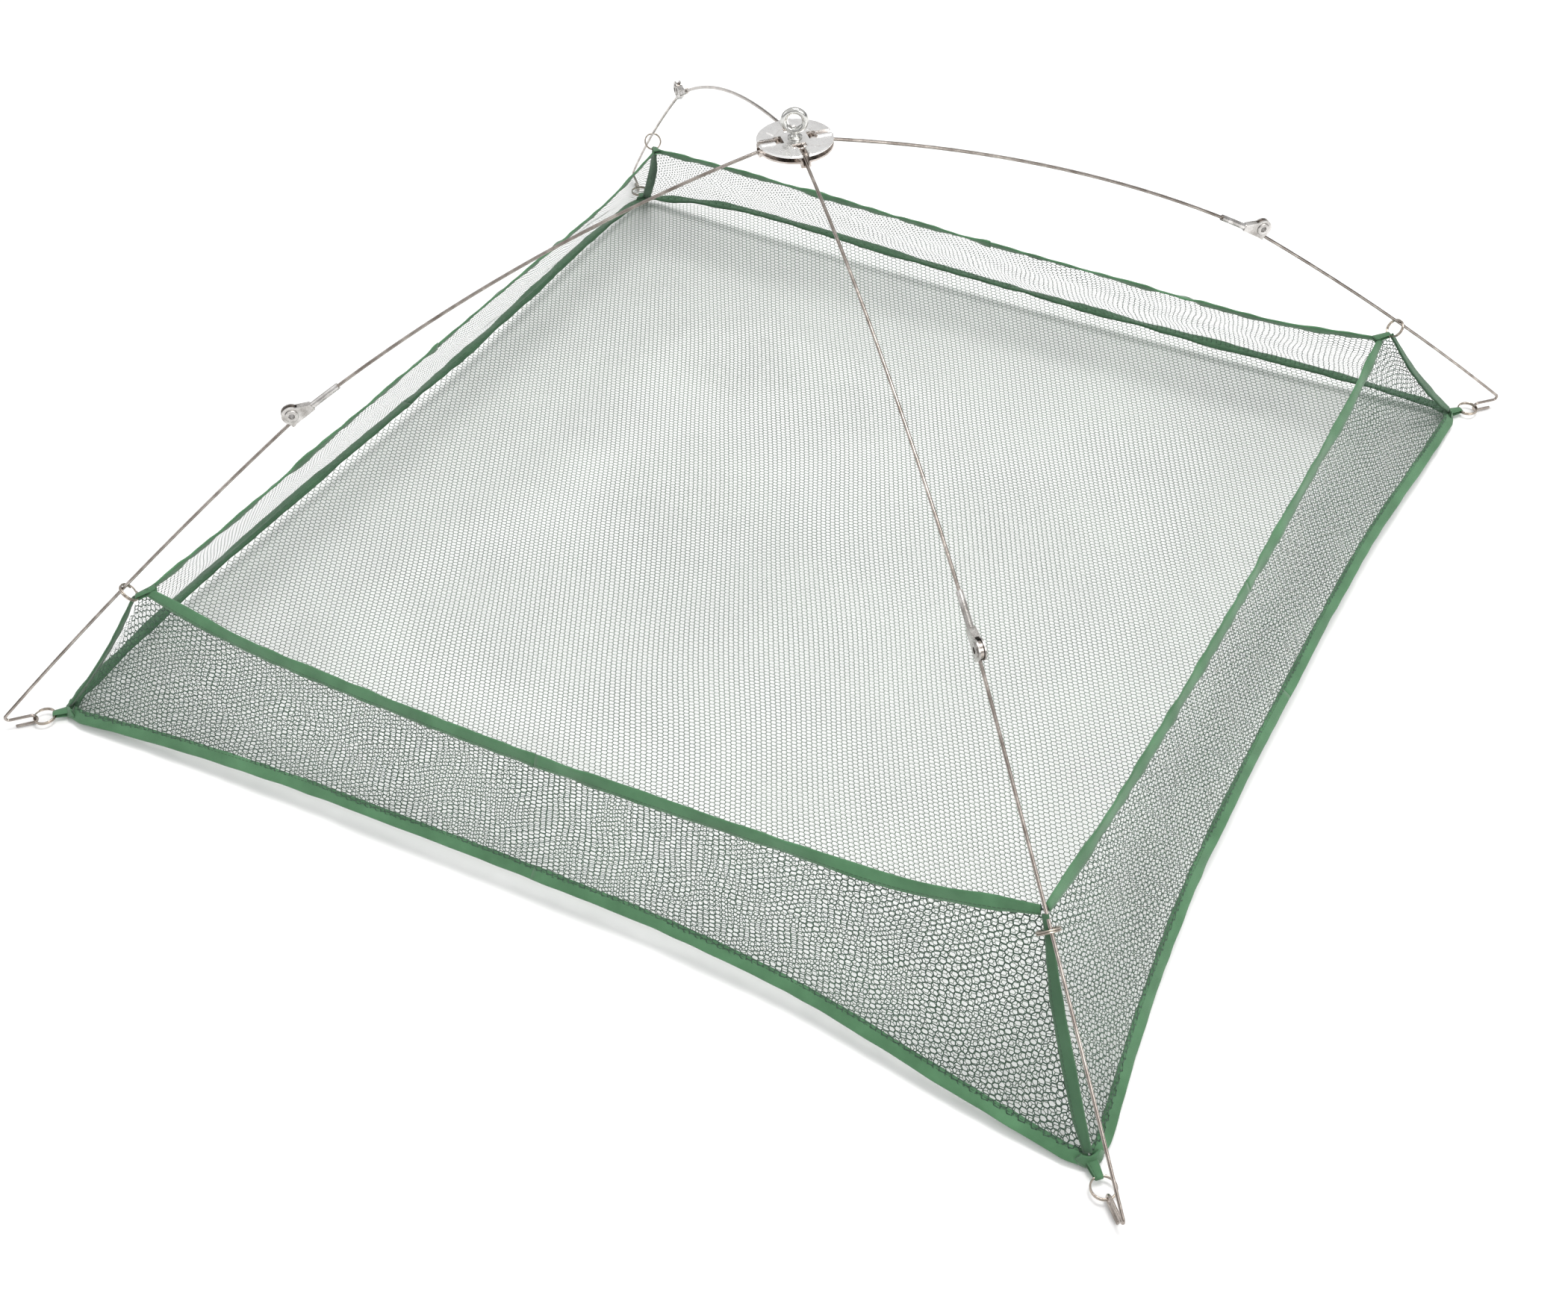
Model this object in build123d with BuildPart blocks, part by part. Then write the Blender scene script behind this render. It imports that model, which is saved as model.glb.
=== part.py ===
from build123d import *
import math
import os

# Folding crab trap: a square net tray hung from four two-piece spring-wire arms.
# Millimetres, +Z up. Origin: centre of the tray on the ground.
# The tray's sides run along X and Y (front is -Y, right is +X), and the arms stand
# over its diagonals. Each arm is drawn along +X, in the XZ plane, and then turned to
# its corner. Each side is drawn at the front and then turned to its place.

# ---------------------------------------------------------------- driving sizes
corner_angles = {"front_left": -135, "front_right": -45, "back_right": 45, "back_left": 135}
side_angles = {"front": 0, "right": 90, "back": 180, "left": 270}
wire_r = 0.9                # spring wire, 1.8 mm

# hub
plate_r = 20.0              # stamped discs, 40 mm
plate_t = 1.0
upper_z = 284.4             # underside of the upper disc
lower_z = 281.2             # underside of the lower disc
pivot = Vector(9.0, 0, 283.3)   # axis of an arm's cross bar
slot_w = 3.4
crossbar_half = 3.7         # half length of the arm's cross bar
bar_clear = 0.05
lug_r = 1.9
lug_half_t = 0.8
lug_y = slot_w / 2 + 1.0    # middle of a lug, from the arm's plane
stem_r = 2.0                # lifting eye's stem
stem_clear = 0.05
spacer_r = 5.6
eye_z = 294.8
eye_major = 5.5
eye_tube = 1.75
eye_bore_r = 3.85
eye_yaw = 29.0              # the eye's resting turn on its swivel

# arms; slopes are in degrees from +X towards +Z
hinge = Vector(281.0, 0, 176.3)         # mid hinge axis
bend_in = Vector(476.4, 0, 12.24)       # where the bend at the tip begins
tip_bend_r = 2.0            # radius of that bend, to the wire's centre
inner_end_deg = -31.4       # slope of the inner wire at the mid hinge
outer_start_deg = -36.5     # slope of the outer wire at the mid hinge
coil_r = 3.5                # wire centreline round the mid hinge
inner_setback = 7.0         # end of the inner wire, short of the hinge
eyelet_r = 2.6
eyelet_clear = 0.05
cheek_r = 5.3
cheek_t = 0.8
cheek_gap = 1.05            # half the space between the cheeks
cheek_face = cheek_gap + cheek_t        # outer face of a cheek, from the arm's plane

# ferrule on the inner wire; stations are measured back from the wire's end
ferrule_start = 1.5
ferrule_len = 21.0
ferrule_r = 1.75
ferrule_clear = 0.04
crimp_stations = (7.0, 16.0)
crimp_len = 4.0
crimp_cut_t = 1.0
crimp_cut_y = ferrule_r + 0.35          # middle of a crimp's cutter

# hook at the tip
hook_centre = Vector(466.3, 0, 3.7)
hook_r = 2.8
stub_len = 9.5

# split rings, and the tape loop round each lower ring
lower_ring_major = 6.0
upper_ring_major = 5.7
ring_wire = 0.45            # radius of the ring's wire
lower_ring_centre = Vector(459.0, 0, hook_centre.Z)
# radius from the trap's axis at which each upper ring hangs
upper_ring_at = {"front_left": 388.0, "front_right": 381.0, "back_right": 386.0, "back_left": 384.0}
loop_len = 4.5              # between the loop's end centres
loop_w = 4.4
loop_inner_r = 1.25
loop_t = 0.6

# net tray: half sides at corners and mid sides, and heights
base_corner = 318.0
base_mid = 304.0
base_corner_z = 3.6
base_mid_z = 16.0
top_corner = 268.3
top_mid = 267.0
top_corner_z = 87.5
top_mid_z = 76.0
net_t = 1.0
wall_start = 6.4            # foot of the wall net, up the wall's slope from the base edge
hem_w = 8.0
hem_t = 2.0
hem_gap = 0.15              # between the wall net and the top hem
wall_mitre = 3.2            # shift of the corner mitres towards the front
base_hem_mitre = 6.0
side_stations = (-330, -165, 0, 165, 330)
base_z = 0.3                # underside of the base net
floor_half = base_mid - 60  # half side of the flat floor
dish_half = base_mid - 7.6  # half side of the dish's rim
dish_rim_z = base_mid_z - 2.0

# binding tape down the tray's corner
binding_top_inset = 1.0
binding_foot_inset = 7.0
binding_out = 0.6


# ---------------------------------------------------------------- shared geometry
def rad(deg):
    return math.radians(deg)


def along(deg):
    # unit vector along a line of this slope
    return Vector(math.cos(rad(deg)), 0, math.sin(rad(deg)))


def above(deg):
    # unit normal on the upper side of a line of this slope
    return Vector(-math.sin(rad(deg)), 0, math.cos(rad(deg)))


def chord_slope(start, end):
    return math.degrees(math.atan2(end.Z - start.Z, end.X - start.X))


def bow_radius(start, end, turn_deg):
    # radius of the arc from start to end that turns through turn_deg
    return (end - start).length / 2 / math.sin(rad(turn_deg) / 2)


def arm_plane(angle):
    # upright plane through the trap's axis and one arm, as (r, z)
    return Plane.XZ.rotated((0, 0, angle))


def level(z, angle=0):
    return Plane.XY.offset(z).rotated((0, 0, angle))


def save(part, name, angle=0):
    # turn a part about the trap's axis and write its file
    turned = part.rotate(Axis.Z, angle)
    turned.label = name
    export_step(turned, f"parts/{name}.step")


# inner wire: one arc from the cross bar to the ferrule
inner_stop = hinge - above(inner_end_deg) * coil_r - along(inner_end_deg) * inner_setback
inner_start_deg = 2 * chord_slope(pivot, inner_stop) - inner_end_deg
inner_turn = inner_start_deg - inner_end_deg
inner_bow_r = bow_radius(pivot, inner_stop, inner_turn)
inner_centre = inner_stop - above(inner_end_deg) * inner_bow_r

# outer wire: one arc from the coil to the tip's bend
outer_start = hinge - above(outer_start_deg) * coil_r
outer_end_deg = 2 * chord_slope(outer_start, bend_in) - outer_start_deg
outer_turn = outer_start_deg - outer_end_deg
outer_bow_r = bow_radius(outer_start, bend_in, outer_turn)
outer_centre = outer_start - above(outer_start_deg) * outer_bow_r


def inner_back(distance):
    # point of the inner wire's centreline this far before its end, and the slope there
    deg = inner_end_deg + math.degrees(distance / inner_bow_r)
    return inner_centre + above(deg) * inner_bow_r, deg


def upper_ring_place(corner):
    # centre of an upper ring in the arm's plane, and its normal along the outer wire
    r = upper_ring_at[corner]
    z = outer_centre.Z + math.sqrt(outer_bow_r ** 2 - (r - outer_centre.X) ** 2)
    deg = -math.degrees(math.atan2(r - outer_centre.X, z - outer_centre.Z))
    drop = upper_ring_major - ring_wire - wire_r - 0.1
    return Vector(r, 0, z) - above(deg) * drop, along(deg)


# ---------------------------------------------------------------- hub
def make_hub_lower_plate():
    wire_fall = math.tan(rad(-inner_start_deg))     # fall of the wire per mm outward
    trough_end = plate_r + 0.2
    trough_profile = [      # (r, z)
        (11.4, lower_z + 0.3),
        (trough_end, pivot.Z - (trough_end - pivot.X) * wire_fall - 2.15),
        (trough_end, lower_z + 0.6),
        (11.4, lower_z + 0.6),
    ]
    channel_start = pivot.X - 0.2
    channel_end = plate_r + 3
    channel_top = lower_z + 4
    channel_profile = [     # (r, z)
        (channel_start, pivot.Z - wire_r - 0.15),
        (pivot.X + 2.0, pivot.Z - wire_r - 0.15 - 2.0 * wire_fall),
        (channel_end, pivot.Z - wire_r - 0.25 - (channel_end - pivot.X) * wire_fall * 1.02),
        (channel_end, channel_top),
        (channel_start, channel_top),
    ]
    lug_foot_z = lower_z + 0.4
    lug_in = pivot.X - lug_r
    lug_out = pivot.X + lug_r

    with BuildPart() as piece:
        with BuildSketch(level(lower_z)):
            Circle(plate_r)
        extrude(amount=plate_t)
        # troughs, dished down under the four wires
        for angle in corner_angles.values():
            with BuildSketch(arm_plane(angle)):
                with BuildLine():
                    Polyline(*trough_profile, close=True)
                make_face()
            extrude(amount=slot_w / 2 + 0.9, both=True)
        # channel for the wire, open above
        for angle in corner_angles.values():
            with BuildSketch(arm_plane(angle)):
                with BuildLine():
                    Polyline(*channel_profile, close=True)
                make_face()
            extrude(amount=slot_w / 2, both=True, mode=Mode.SUBTRACT)
        # round outline again, so the troughs end on the rim
        with BuildSketch(level(lower_z - 8)):
            Circle(plate_r + 0.15)
        extrude(amount=20, mode=Mode.INTERSECT)
        # bearing lugs for the cross bars
        for angle in corner_angles.values():
            for side in (-1, 1):
                with BuildSketch(arm_plane(angle).offset(-side * lug_y)):
                    with BuildLine():
                        Line((lug_in, lug_foot_z), (lug_out, lug_foot_z))
                        Line((lug_out, lug_foot_z), (lug_out, pivot.Z))
                        ThreePointArc(
                            (lug_out, pivot.Z), (pivot.X, pivot.Z + lug_r), (lug_in, pivot.Z)
                        )
                        Line((lug_in, pivot.Z), (lug_in, lug_foot_z))
                    make_face()
                extrude(amount=lug_half_t, both=True)
        # bores for the cross bars
        for angle in corner_angles.values():
            with BuildSketch(arm_plane(angle)):
                with Locations((pivot.X, pivot.Z)):
                    Circle(wire_r + bar_clear)
            extrude(amount=crossbar_half + 0.15, both=True, mode=Mode.SUBTRACT)
        with BuildSketch(level(lower_z - 1)):
            Circle(stem_r + stem_clear)
        extrude(amount=4, mode=Mode.SUBTRACT)
    return piece.part


def make_hub_upper_plate():
    relief_z = upper_z + plate_t - 0.2      # lips and pads start inside the disc
    slot_start = pivot.X - 1.2
    slot_len = 18
    pocket_len = 2 * lug_r + 0.6
    pocket_w = 2 * (lug_y + lug_half_t + 0.2)

    with BuildPart() as piece:
        with BuildSketch(level(upper_z)):
            Circle(plate_r)
        extrude(amount=plate_t)
        rim = piece.edges().filter_by(GeomType.CIRCLE).group_by(Axis.Z)[-1]
        fillet(rim, 0.45)
        # raised lips along the slots
        for angle in corner_angles.values():
            for side in (-1, 1):
                with BuildSketch(level(relief_z, angle)):
                    with Locations((14.9, side * (slot_w / 2 + 0.85))):
                        SlotOverall(8.8, 1.5)
                extrude(amount=0.75)
        # stamped pads between the slots
        for angle in side_angles.values():
            with BuildSketch(level(relief_z, angle)):
                with Locations((13.2, 0)):
                    Trapezoid(7.0, 5.2, 74, rotation=-90)
            extrude(amount=0.65)
        # slots open at the rim, with a pocket for the lugs at the inner end
        for angle in corner_angles.values():
            with BuildSketch(level(upper_z - 1, angle)):
                with Locations((slot_start + slot_len / 2, 0)):
                    Rectangle(slot_len, slot_w)
                with Locations((pivot.X, 0)):
                    Rectangle(pocket_len, pocket_w)
            extrude(amount=5, mode=Mode.SUBTRACT)
        with BuildSketch(level(upper_z - 1)):
            Circle(stem_r + stem_clear)
        extrude(amount=4, mode=Mode.SUBTRACT)
    return piece.part


def make_hub_spacer():
    # washer that fills the space between the discs
    with BuildPart() as piece:
        with BuildSketch(level(lower_z + plate_t)):
            Circle(spacer_r)
            Circle(stem_r + stem_clear, mode=Mode.SUBTRACT)
        extrude(amount=upper_z - lower_z - plate_t)
    return piece.part


def make_lifting_eye():
    hub_top = upper_z + plate_t
    neck_top = eye_z - 5.2
    stem_profile = [        # (r, z): clenched foot, stem, collar and neck
        (0, lower_z - 1.3), (3.1, lower_z - 1.3), (3.6, lower_z - 0.8), (3.6, lower_z - 0.1),
        (stem_r, lower_z - 0.1), (stem_r, hub_top + 0.1),
        (3.8, hub_top + 0.1), (3.8, hub_top + 0.7), (2.6, hub_top + 1.3),
        (1.9, hub_top + 2.2), (2.2, neck_top), (0, neck_top),
    ]
    with BuildPart() as piece:
        with BuildSketch(level(eye_z)):
            with Locations((eye_major, 0)):
                Circle(eye_tube)
        revolve(axis=Axis((0, 0, eye_z), (0, 1, 0)), revolution_arc=360)
        # short land inside the eye
        with BuildSketch(Plane.XZ):
            with Locations((0, eye_z)):
                Circle(eye_bore_r)
        extrude(amount=4, both=True, mode=Mode.SUBTRACT)
        with BuildSketch(Plane.XZ):
            with BuildLine():
                Polyline(*stem_profile, close=True)
            make_face()
        revolve(axis=Axis.Z)
    return piece.part


# ---------------------------------------------------------------- arms
def make_inner_arm():
    with BuildPart() as piece:
        # the long bow, turned about its centre
        with BuildSketch(Plane(origin=pivot, z_dir=along(inner_start_deg))):
            Circle(wire_r)
        revolve(axis=Axis(inner_centre, (0, 1, 0)), revolution_arc=inner_turn)
        # cross bar
        with BuildSketch(Plane.XZ):
            with Locations((pivot.X, pivot.Z)):
                Circle(wire_r)
        extrude(amount=crossbar_half, both=True)
    return piece.part


def make_clevis():
    # profiles in the seat plane: x along the inner wire's end, y above it
    seat = Plane(origin=hinge, x_dir=along(inner_end_deg), z_dir=(0, -1, 0))
    cheek_profile = [
        (-11.5, -coil_r - 2.0), (0, -coil_r - 2.0), (4.2, -coil_r - 2.45), (4.2, -1.0),
        (0, 3.0), (-4.2, 2.6), (-11.5, -coil_r + 1.9),
    ]
    coil_space = [
        (-5.6, -coil_r - 1.1), (0, -coil_r - 1.1), (8, -coil_r - 1.95), (8, 9), (-5.6, 9),
    ]
    with BuildPart() as piece:
        # two cheeks, joined under the wire
        with BuildSketch(seat):
            Circle(cheek_r)
            with BuildLine():
                Polyline(*cheek_profile, close=True)
            make_face()
        extrude(amount=cheek_face, both=True)
        # room for the coil between the cheeks
        with BuildSketch(seat):
            with BuildLine():
                Polyline(*coil_space, close=True)
            make_face()
        extrude(amount=cheek_gap, both=True, mode=Mode.SUBTRACT)
        # ferrule along the inner wire
        start, start_deg = inner_back(ferrule_start)
        middle, _ = inner_back(ferrule_start + ferrule_len / 2)
        end, _ = inner_back(ferrule_start + ferrule_len)
        with BuildLine() as path:
            ThreePointArc(start, middle, end)
        with BuildSketch(Plane(origin=start, z_dir=-along(start_deg))):
            Circle(ferrule_r)
        sweep(path=path.wires()[0])
        # flats crimped on both sides of the ferrule
        for station in crimp_stations:
            crimp, crimp_deg = inner_back(station)
            for side in (-1, 1):
                cutter = Plane(
                    origin=crimp + Vector(0, side * crimp_cut_y, 0),
                    x_dir=along(crimp_deg),
                    z_dir=(0, 1, 0),
                )
                with Locations(Location(cutter)):
                    Box(crimp_len, 4.0, crimp_cut_t, mode=Mode.SUBTRACT)
        # bore for the wire, running past both ends of the ferrule
        start, start_deg = inner_back(-1.6)
        middle, _ = inner_back(ferrule_len / 2)
        end, _ = inner_back(3.0 + ferrule_len)
        with BuildLine() as path:
            ThreePointArc(start, middle, end)
        with BuildSketch(Plane(origin=start, z_dir=-along(start_deg))):
            Circle(wire_r + ferrule_clear)
        sweep(path=path.wires()[0], mode=Mode.SUBTRACT)
        # eyelet holes
        with BuildSketch(seat):
            Circle(eyelet_r + eyelet_clear)
        extrude(amount=4, both=True, mode=Mode.SUBTRACT)
    return piece.part


def make_rivet():
    # hollow rivet with a flange outside each cheek
    flange_y = cheek_face + 0.02
    half_profile = [        # (distance from the hinge axis, y)
        (eyelet_r, flange_y), (3.7, flange_y), (3.7, 2.2), (3.3, 2.5), (1.7, 2.5),
    ]
    profile = [(r, -y) for r, y in reversed(half_profile)] + half_profile
    with BuildPart() as piece:
        with BuildSketch(level(hinge.Z)):
            with BuildLine():
                Polyline(*[(hinge.X + r, y) for r, y in profile], close=True)
            make_face()
        revolve(axis=Axis(hinge, (0, 1, 0)))
    return piece.part


def make_outer_arm():
    # the tip's bend is an arc tangent to the wire's last straight and to the level run
    run_end = hook_centre + Vector(0, 0, hook_r)
    fall = (bend_in.Z - run_end.Z) / math.sin(rad(-outer_end_deg))
    knee = bend_in + along(outer_end_deg) * fall
    reach = tip_bend_r / math.tan(rad(-outer_end_deg) / 2)
    turn_in = knee - along(outer_end_deg) * reach
    turn_out = knee - Vector(reach, 0, 0)
    turn_centre = turn_out + Vector(0, 0, tip_bend_r)
    turn_mid = turn_centre + (knee - turn_centre).normalized() * tip_bend_r
    hook_back = hook_centre - Vector(hook_r, 0, 0)
    hook_foot = hook_centre - Vector(0, 0, hook_r)
    with BuildPart() as piece:
        # the long bow, turned about its centre
        with BuildSketch(Plane(origin=outer_start, z_dir=along(outer_start_deg))):
            Circle(wire_r)
        revolve(axis=Axis(outer_centre, (0, 1, 0)), revolution_arc=outer_turn)
        # the tip's bend, the level run, the hook and its stub
        with BuildLine() as path:
            Line(bend_in, turn_in)
            ThreePointArc(turn_in, turn_mid, turn_out)
            Line(turn_out, run_end)
            ThreePointArc(run_end, hook_back, hook_foot)
            Line(hook_foot, hook_foot + Vector(stub_len, 0, 0))
        with BuildSketch(Plane(origin=bend_in, z_dir=along(outer_end_deg))):
            Circle(wire_r)
        sweep(path=path.wires()[0])
        # wire eye round the rivet
        with BuildSketch(Plane.XZ):
            with Locations((hinge.X, hinge.Z)):
                Circle(coil_r + wire_r - 0.04)
                Circle(eyelet_r + eyelet_clear, mode=Mode.SUBTRACT)
        extrude(amount=wire_r - 0.04, both=True)
    return piece.part


# ---------------------------------------------------------------- rings and tapes
def make_ring(centre, normal, major):
    # a split ring: two turns lying on each other
    with BuildPart() as piece:
        for side in (-1, 1):
            turn = Plane(origin=centre + normal * side * (ring_wire - 0.02), z_dir=normal)
            with BuildSketch(Plane(origin=turn.origin, x_dir=turn.x_dir, z_dir=turn.y_dir)):
                with Locations((major, 0)):
                    Circle(ring_wire)
            revolve(axis=Axis(turn.origin, turn.z_dir))
    return piece.part


def make_lower_loop():
    # flat closed tape band, from the lower ring's inner side towards the trap's axis
    middle = lower_ring_centre - Vector(lower_ring_major + loop_len / 2, 0, 0)
    with BuildPart() as piece:
        with BuildSketch(Plane(origin=middle, x_dir=(-1, 0, 0), z_dir=(0, -1, 0))):
            SlotCenterToCenter(loop_len, 2 * (loop_inner_r + loop_t))
            SlotCenterToCenter(loop_len, 2 * loop_inner_r, mode=Mode.SUBTRACT)
        extrude(amount=loop_w / 2, both=True)
    return piece.part


def make_binding():
    # folded tape down the tray's corner edge, outside the two walls
    edge_top = Vector(top_corner * math.sqrt(2), 0, top_corner_z)
    edge_foot = Vector(base_corner * math.sqrt(2), 0, base_corner_z)
    edge_dir = (edge_foot - edge_top).normalized()
    edge_out = Vector(-edge_dir.Z, 0, edge_dir.X)
    start = edge_top + edge_dir * binding_top_inset + edge_out * binding_out
    end = edge_foot - edge_dir * binding_foot_inset + edge_out * binding_out
    # a shallow V whose back points outward: (across the edge, outward)
    fold_profile = [
        (0, 0.9), (2.2, -0.75), (2.2, -1.85), (0, -0.2), (-2.2, -1.85), (-2.2, -0.75),
    ]
    with BuildPart() as piece:
        with BuildSketch(Plane(origin=start, x_dir=(0, 1, 0), z_dir=edge_dir)):
            with BuildLine():
                Polyline(*fold_profile, close=True)
            make_face()
        extrude(amount=(end - start).length)
    return piece.part


# ---------------------------------------------------------------- net tray
def side_value(x, at_corner, at_mid, half_length):
    # value along a side: a parabola from the middle out to the corners
    share = min(1.0, abs(x) / half_length)
    return at_mid + (at_corner - at_mid) * share ** 2


def base_edge(x):
    # (y, z) of the front wall's base edge
    return (
        -side_value(x, base_corner, base_mid, base_corner),
        side_value(x, base_corner_z, base_mid_z, base_corner),
    )


def top_edge(x):
    # (y, z) of the front wall's top edge
    return (
        -side_value(x, top_corner, top_mid, top_corner),
        side_value(x, top_corner_z, top_mid_z, top_corner),
    )


def wall_slope(x):
    # slope length of the front wall, and its unit direction upward as (y, z)
    foot_y, foot_z = base_edge(x)
    top_y, top_z = top_edge(x)
    length = math.hypot(top_y - foot_y, top_z - foot_z)
    return length, (top_y - foot_y) / length, (top_z - foot_z) / length


def strip_section(x, start, end, thick):
    # thin (y, z) section of the wall between two distances up its slope
    foot_y, foot_z = base_edge(x)
    _, up_y, up_z = wall_slope(x)
    half = thick / 2
    corners = ((start, half), (end, half), (end, -half), (start, -half))
    return [
        (foot_y + up_y * rise - up_z * off, foot_z + up_z * rise + up_y * off)
        for rise, off in corners
    ]


def wall_section(x):
    length, _, _ = wall_slope(x)
    return strip_section(x, wall_start, length - hem_w - hem_gap, net_t)


def top_hem_section(x):
    length, _, _ = wall_slope(x)
    return strip_section(x, length - hem_w, length, hem_t)


def base_hem_section(x):
    # rolled tape where the base net meets the wall, as (y, z) from the base edge
    foot_y, foot_z = base_edge(x)
    roll = [(-1.2, -1.4), (-1.6, 0.6), (1.5, 4.0), (3.0, 3.4), (6.4, -0.4), (6.2, -2.0)]
    return [(foot_y + y, foot_z + z) for y, z in roll]


def side_ring_places(side_angle):
    # the two upper rings at the ends of a side, in the front side's own frame
    places = []
    for corner, angle in corner_angles.items():
        relative = (angle - side_angle + 360) % 360
        if relative in (225, 315):
            centre, normal = upper_ring_place(corner)
            places.append((centre.rotate(Axis.Z, relative), normal.rotate(Axis.Z, relative)))
    return places


def make_side(section, mitre, rings=()):
    # loft a section along the front side; rings are (centre, normal) pairs to clear
    with BuildPart() as piece:
        for x in side_stations:
            with BuildSketch(Plane(origin=(x, 0, 0), x_dir=(0, 1, 0), z_dir=(1, 0, 0))):
                with BuildLine():
                    Polyline(*section(x), close=True)
                make_face()
        loft()
        # mitred at the tray's corners
        with BuildSketch(level(-20)):
            with BuildLine():
                Polyline((0, -mitre), (-400, -400 - mitre), (400, -400 - mitre), close=True)
            make_face()
        extrude(amount=200, mode=Mode.INTERSECT)
        # room for the split rings that pierce the net beside the corner tape
        for centre, normal in rings:
            with BuildSketch(Plane(origin=centre, z_dir=normal)):
                Circle(upper_ring_major + ring_wire + 0.5)
            extrude(amount=1.4, both=True, mode=Mode.SUBTRACT)
    return piece.part


def make_net_base():
    # a flat floor in a shallow dish that rises to the hems
    with BuildPart() as piece:
        with BuildSketch(level(base_z)):
            Rectangle(2 * floor_half, 2 * floor_half)
        extrude(amount=net_t)
        # the dish as a solid, then hollowed by the same shape raised by the net's thickness
        for rise, mode in ((0, Mode.ADD), (net_t, Mode.SUBTRACT)):
            with BuildSketch(level(base_z + rise)):
                Rectangle(2 * floor_half - 2, 2 * floor_half - 2)
            with BuildSketch(level(dish_rim_z + rise)):
                Rectangle(2 * dish_half, 2 * dish_half)
            loft(mode=mode)
    return piece.part


# ---------------------------------------------------------------- build and write
os.makedirs("parts", exist_ok=True)

save(make_hub_lower_plate(), "hub_lower_plate")
save(make_hub_upper_plate(), "hub_upper_plate")
save(make_hub_spacer(), "hub_spacer")
save(make_lifting_eye(), "lifting_eye", eye_yaw)

# pieces that are alike at all four corners
corner_pieces = {
    "inner_arm": make_inner_arm(),
    "hinge_clevis": make_clevis(),
    "hinge_rivet": make_rivet(),
    "outer_arm": make_outer_arm(),
    "lower_ring": make_ring(lower_ring_centre, Vector(0, 0, 1), lower_ring_major),
    "lower_loop": make_lower_loop(),
    "corner_binding": make_binding(),
}
for corner, angle in corner_angles.items():
    for name, part in corner_pieces.items():
        save(part, f"{name}_{corner}", angle)
    # each upper ring hangs at its own place on the outer wire
    upper_ring = make_ring(*upper_ring_place(corner), upper_ring_major)
    save(upper_ring, f"upper_ring_{corner}", angle)

base_hem = make_side(base_hem_section, base_hem_mitre)
for side, angle in side_angles.items():
    rings = side_ring_places(angle)
    save(make_side(wall_section, wall_mitre, rings), f"net_wall_{side}", angle)
    save(make_side(top_hem_section, wall_mitre, rings), f"top_hem_{side}", angle)
    save(base_hem, f"base_hem_{side}", angle)

save(make_net_base(), "net_base")
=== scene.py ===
# A square lift net lying open: a hub with a lifting eye, four hinged wire arms, a net base with
# bound edges, and low net walls whose mouth is tied to rings on the arms.
# The base is centred on the origin with its underside on z = 0. Front is -y, right is +x.
# Own geometry is worked out in millimetres and turned into metres when a mesh is made.
import math
from types import SimpleNamespace

import bpy
import numpy as np
from mathutils import Matrix, Vector


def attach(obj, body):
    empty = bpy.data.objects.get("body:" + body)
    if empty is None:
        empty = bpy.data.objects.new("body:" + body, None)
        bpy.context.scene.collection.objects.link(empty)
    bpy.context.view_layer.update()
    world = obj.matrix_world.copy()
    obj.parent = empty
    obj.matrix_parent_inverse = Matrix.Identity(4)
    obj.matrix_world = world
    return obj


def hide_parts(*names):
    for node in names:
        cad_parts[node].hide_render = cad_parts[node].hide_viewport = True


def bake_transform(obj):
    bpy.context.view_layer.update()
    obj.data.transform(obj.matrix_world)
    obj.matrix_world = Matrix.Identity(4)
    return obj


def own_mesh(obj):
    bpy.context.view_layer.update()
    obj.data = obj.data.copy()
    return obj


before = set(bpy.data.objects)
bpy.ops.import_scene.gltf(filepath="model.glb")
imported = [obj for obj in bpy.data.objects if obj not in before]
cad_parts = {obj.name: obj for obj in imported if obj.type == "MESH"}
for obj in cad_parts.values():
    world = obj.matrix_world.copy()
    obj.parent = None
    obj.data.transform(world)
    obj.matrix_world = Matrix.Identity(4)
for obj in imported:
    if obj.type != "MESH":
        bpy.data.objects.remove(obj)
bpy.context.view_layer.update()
MM = 0.001
ROOT2 = math.sqrt(2)

# ---------------------------------------------------------------- sizes
HALF_BASE = 318.0                  # half side of the base, to the corner of its hem
BASE_CORNER_Z = 4.2
WALL_H = 80.0                      # height of the wall's netting as it is laid out flat
SEAM_SAG = 2.6                     # how far the corner seams are drawn in between ring and foot

PITCH_X, PITCH_Y = 3.25, 2.85      # spacing of the net's columns, and of the cells in a column
NET_WAVER = 0.12                   # neighbouring knots lie this far above and below the sheet

HEM_THICK = 1.3
PLY = 0.42                         # thickness of one ply of a folded tape
HEM_STATIONS = 96
HEM_START = 0.004                  # share of a side left free between corner and hem end

WIRE_R = 0.50                      # split rings: wire radius, and radius to the wire's middle
UPPER_RING_R = 5.7
LOWER_RING_R = 6.0

CORNERS = {"front_left": (-1, -1), "front_right": (1, -1), "back_right": (1, 1), "back_left": (-1, 1)}
RADIAL = {c: np.array([sx, sy, 0.0]) / ROOT2 for c, (sx, sy) in CORNERS.items()}
TANGENT = {c: np.array([-sy, sx, 0.0]) / ROOT2 for c, (sx, sy) in CORNERS.items()}

# the mouth's corners: distance from the z axis, and height
MOUTH_R = {"front_left": 381.0, "front_right": 373.0, "back_right": 379.0, "back_left": 377.0}
MOUTH_Z = {"front_left": 79.0, "front_right": 100.0, "back_right": 77.0, "back_left": 82.0}
MOUTH_HALF = {corner: radius / ROOT2 for corner, radius in MOUTH_R.items()}
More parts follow.
